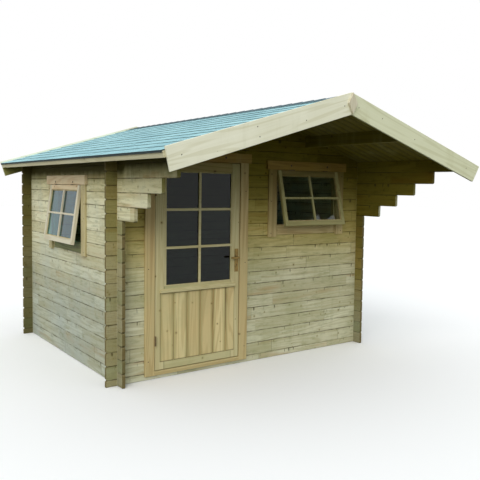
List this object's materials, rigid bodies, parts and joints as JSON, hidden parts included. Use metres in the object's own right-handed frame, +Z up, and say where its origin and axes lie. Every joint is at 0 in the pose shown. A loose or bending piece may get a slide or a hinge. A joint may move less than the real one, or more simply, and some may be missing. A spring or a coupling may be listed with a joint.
{
  "type": "log cabin",
  "caption": "Garden log cabin with interlocking notched log walls, a low gabled shingle roof with a deep front canopy, a half-glazed hinged door and top-hung windows standing open.",
  "frame": {"origin": "on the ground under the middle of the wall footprint", "axes": "+Z up, -Y out of the wall with the door, +X to the right when facing that wall"},
  "size_m": [3.3616, 3.868, 2.4174],
  "materials": {
    "log_wood": "pressure-treated pine, weathered",
    "trim_wood": "planed pine, oiled",
    "door_wood": "planed pine, oiled",
    "sash_wood": "planed pine",
    "bargeboard_wood": "planed pine, pale",
    "roof_wood": "planed pine",
    "floor_wood": "planed pine",
    "shingle": "mineral-faced felt",
    "pane": "clear",
    "handle_brass": "aged, satin",
    "hinge_steel": "black"
  },
  "bodies": {
    "cabin": {"apex_plates": "bargeboard_wood", "back_left_bargeboard": "bargeboard_wood", "back_right_bargeboard": "bargeboard_wood", "back_wall_even_courses": "log_wood", "back_wall_odd_courses": "log_wood", "door_head": "trim_wood", "door_hinge_posts": "hinge_steel", "door_jambs": "trim_wood", "door_threshold": "trim_wood", "eave_fascias": "roof_wood", "floor_bearers": "floor_wood", "floor_boards": "floor_wood", "front_left_bargeboard": "bargeboard_wood", "front_right_bargeboard": "bargeboard_wood", "front_wall_even_courses": "log_wood", "front_wall_odd_courses": "log_wood", "front_window_glass": "pane", "front_window_head_and_sill": "trim_wood", "front_window_hinges": "hinge_steel", "front_window_jambs": "trim_wood", "front_window_rails": "sash_wood", "front_window_stiles": "sash_wood", "left_roof_deck": "roof_wood", "left_roof_shingles": "shingle", "left_wall_even_courses": "log_wood", "left_wall_odd_courses": "log_wood", "ridge_cap": "shingle", "ridge_purlin": "roof_wood", "right_roof_deck": "roof_wood", "right_roof_shingles": "shingle", "right_wall_even_courses": "log_wood", "right_wall_odd_courses": "log_wood", "side_purlins": "roof_wood", "side_window_glass": "pane", "side_window_head_and_sill": "trim_wood", "side_window_hinges": "hinge_steel", "side_window_jambs": "trim_wood", "side_window_rails": "sash_wood", "side_window_stiles": "sash_wood"},
    "door": {"door_stiles": "door_wood", "door_rails": "door_wood", "door_panel": "door_wood", "door_weather_bar": "door_wood", "door_glass": "pane", "door_hinge_knuckles": "hinge_steel", "door_handle_plates": "handle_brass"},
    "handle": {"door_handle": "handle_brass"}
  },
  "joints": [
    {"name": "door_swing", "type": "hinge", "parent": "cabin", "child": "door", "pos_m": [-1.0565, -1.1823, 0.97], "axis": [0, 0, -1], "range_deg": [0, 100]},
    {"name": "handle_turn", "type": "hinge", "parent": "door", "child": "handle", "pos_m": [-0.214, -1.152, 1.016], "axis": [0, -1, 0], "range_deg": [0, 40], "stiffness_Nm_per_rad": 1.2, "springref_deg": -22.92}
  ]
}
